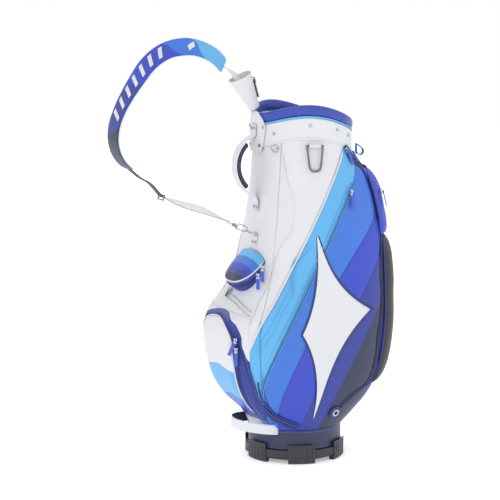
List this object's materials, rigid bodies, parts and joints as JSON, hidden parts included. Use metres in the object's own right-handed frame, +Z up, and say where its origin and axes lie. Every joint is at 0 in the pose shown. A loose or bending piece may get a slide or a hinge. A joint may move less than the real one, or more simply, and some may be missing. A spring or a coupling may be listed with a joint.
{
  "type": "golf bag",
  "caption": "Free-standing staff golf bag with padded collar, divided club tube, sewn zip pockets, carry handle and a padded shoulder strap clipped to a ring.",
  "frame": {"origin": "on the floor under the centre of the base", "axes": "+Z up, -X towards the front with the handle, strap and ball pocket, +X towards the rear, -Y towards the near side with the towel ring"},
  "size_m": [0.7589, 0.334, 1.102],
  "materials": {
    "black_plastic": "moulded satin black",
    "navy_leather": "grained synthetic leather",
    "tube_plastic": "smooth moulded",
    "divider_cloth": "padded cloth over foam",
    "sheet_plastic": "thin smooth sheet",
    "white_leather": "fine-grained synthetic leather",
    "royal_leather": "fine-grained synthetic leather",
    "blue_leather": "fine-grained synthetic leather, blue stripes",
    "deep_leather": "fine-grained synthetic leather",
    "black_leather": "fine-grained synthetic leather",
    "cyan_piping": "folded piping",
    "white_webbing": "woven webbing",
    "cyan_webbing": "woven webbing",
    "steel": "plated steel",
    "dark_steel": "dark plated steel",
    "pull_rubber": "soft moulded",
    "dark_pull": "soft moulded"
  },
  "bodies": {
    "bag": {"base_tub": "black_plastic", "base_feet": "black_plastic", "base_band": "navy_leather", "inner_tube": "tube_plastic", "divider_top": "divider_cloth", "divider_sheets": "sheet_plastic", "collar": "white_leather", "rim_pad": "deep_leather", "rim_piping": "cyan_piping", "collar_rivets": "steel", "strap_tab": "white_leather", "tab_rivets": "steel", "front_panel": "white_leather", "garment_pocket_near": "blue_leather", "garment_pocket_far": "blue_leather", "rear_panel": "royal_leather", "rear_upper_pocket": "royal_leather", "rear_lower_pocket": "black_leather", "ball_pocket": "deep_leather", "ball_door": "white_leather", "valuables_pouch": "royal_leather", "pouch_lid": "blue_leather", "handle_strap": "white_leather", "handle_pad": "navy_leather", "handle_rivets": "steel", "base_loop": "white_webbing", "rear_loop": "cyan_webbing", "towel_tab": "white_leather", "small_ring_tab": "white_leather", "umbrella_tab": "navy_leather", "umbrella_eyelet": "steel", "ring_tab": "white_leather", "ring_tab_rivets": "steel", "fixed_sliders": "steel"},
    "strap": {"shoulder_pad": "blue_leather", "upper_webbing": "white_webbing", "lower_webbing": "white_webbing", "strap_adjuster": "steel", "strap_sleeve": "white_leather", "sleeve_buckle": "dark_steel", "hook_eye": "steel"},
    "hook": {"snap_hook": "steel"},
    "gate": {"hook_gate": "steel"},
    "ring": {"strap_ring": "steel"},
    "towel_ring_body": {"towel_ring": "dark_steel"},
    "small_ring_body": {"small_ring": "steel"},
    "slider_near": {"slider_panel_near": "steel"},
    "slider_far": {"slider_panel_far": "steel"},
    "pull_panel_near_body": {"pull_panel_near": "pull_rubber"},
    "pull_panel_far_body": {"pull_panel_far": "pull_rubber"},
    "pull_garment_near_body": {"pull_garment_near": "pull_rubber"},
    "pull_garment_far_body": {"pull_garment_far": "pull_rubber"},
    "pull_rear_near_body": {"pull_rear_near": "pull_rubber"},
    "pull_rear_far_body": {"pull_rear_far": "pull_rubber"},
    "pull_ball_upper_body": {"pull_ball_upper": "pull_rubber"},
    "pull_ball_lower_body": {"pull_ball_lower": "pull_rubber"},
    "pull_pouch_upper_body": {"pull_pouch_upper": "pull_rubber"},
    "pull_pouch_lower_body": {"pull_pouch_lower": "pull_rubber"},
    "pull_slit_body": {"pull_slit": "dark_pull"}
  },
  "joints": [
    {"name": "strap_swing", "type": "hinge", "parent": "bag", "child": "strap", "pos_m": [-0.142, 0, 0.607], "axis": [0.0809, 0, 0.9967], "range_deg": [-40, 40]},
    {"name": "hook_swivel", "type": "hinge", "parent": "strap", "child": "hook", "pos_m": [-0.142, 0, 0.607], "axis": [0.9272, 0, -0.3746], "range_deg": [-20, 20]},
    {"name": "gate_swing", "type": "hinge", "parent": "hook", "child": "gate", "pos_m": [-0.16687, 0, 0.6095], "axis": [0, -1, 0], "range_deg": [0, 25], "stiffness_Nm_per_rad": 0.02, "springref_deg": -8.59},
    {"name": "strap_ring_swing", "type": "hinge", "parent": "bag", "child": "ring", "pos_m": [-0.119, 0, 0.592], "axis": [0, 1, 0], "range_deg": [-2, 1]},
    {"name": "towel_ring_swing", "type": "hinge", "parent": "bag", "child": "towel_ring_body", "pos_m": [-0.0095, -0.13284, 0.82867], "axis": [-0.9785, 0.206, 0], "range_deg": [0, 120]},
    {"name": "small_ring_swing", "type": "hinge", "parent": "bag", "child": "small_ring_body", "pos_m": [-0.09306, -0.07149, 0.82215], "axis": [-0.5226, 0.8526, 0], "range_deg": [0, 120]},
    {"name": "panel_zip_near", "type": "hinge", "parent": "bag", "child": "slider_near", "pos_m": [0.28831, 1.14333, 0.32981], "axis": [0.8552, -0.264, -0.4461], "range_deg": [0, 10.8]},
    {"name": "panel_zip_far", "type": "hinge", "parent": "bag", "child": "slider_far", "pos_m": [0.28831, -1.14333, 0.32981], "axis": [-0.8552, -0.264, 0.4461], "range_deg": [0, 10.8]},
    {"name": "pull_panel_near_swing", "type": "hinge", "parent": "slider_near", "child": "pull_panel_near_body", "pos_m": [0.0874, -0.1517, 0.70732], "axis": [-0.9911, -0.1328, 0], "range_deg": [0, 110]},
    {"name": "pull_panel_far_swing", "type": "hinge", "parent": "slider_far", "child": "pull_panel_far_body", "pos_m": [0.0874, 0.1517, 0.70732], "axis": [0.9911, -0.1328, 0], "range_deg": [0, 110]},
    {"name": "pull_garment_near_swing", "type": "hinge", "parent": "bag", "child": "pull_garment_near_body", "pos_m": [0.09045, -0.12042, 0.8135], "axis": [-0.7856, -0.5215, -0.333], "range_deg": [0, 110]},
    {"name": "pull_garment_far_swing", "type": "hinge", "parent": "bag", "child": "pull_garment_far_body", "pos_m": [0.09045, 0.12042, 0.8135], "axis": [0.7856, -0.5215, 0.333], "range_deg": [0, 110]},
    {"name": "pull_rear_near_swing", "type": "hinge", "parent": "bag", "child": "pull_rear_near_body", "pos_m": [0.2008, -0.10949, 0.70217], "axis": [-0.5679, -0.8231, 0], "range_deg": [0, 110]},
    {"name": "pull_rear_far_swing", "type": "hinge", "parent": "bag", "child": "pull_rear_far_body", "pos_m": [0.2008, 0.10949, 0.70217], "axis": [0.5679, -0.8231, 0], "range_deg": [0, 110]},
    {"name": "pull_ball_upper_swing", "type": "hinge", "parent": "bag", "child": "pull_ball_upper_body", "pos_m": [-0.2167, -0.1, 0.336], "axis": [-0.7912, 0.4568, 0.4067], "range_deg": [0, 110]},
    {"name": "pull_ball_lower_swing", "type": "hinge", "parent": "bag", "child": "pull_ball_lower_body", "pos_m": [-0.21517, -0.10048, 0.311], "axis": [-0.866, 0.5, 0], "range_deg": [0, 110]},
    {"name": "pull_pouch_upper_swing", "type": "hinge", "parent": "bag", "child": "pull_pouch_upper_body", "pos_m": [-0.14382, -0.10657, 0.519], "axis": [-0.9511, 0.309, 0], "range_deg": [0, 110]},
    {"name": "pull_pouch_lower_swing", "type": "hinge", "parent": "bag", "child": "pull_pouch_lower_body", "pos_m": [-0.15352, -0.10089, 0.499], "axis": [-0.9511, 0.309, 0], "range_deg": [0, 110]},
    {"name": "pull_slit_swing", "type": "hinge", "parent": "bag", "child": "pull_slit_body", "pos_m": [-0.17254, 0.03733, 0.4459], "axis": [0.0248, 0.9997, 0], "range_deg": [0, 110]}
  ]
}
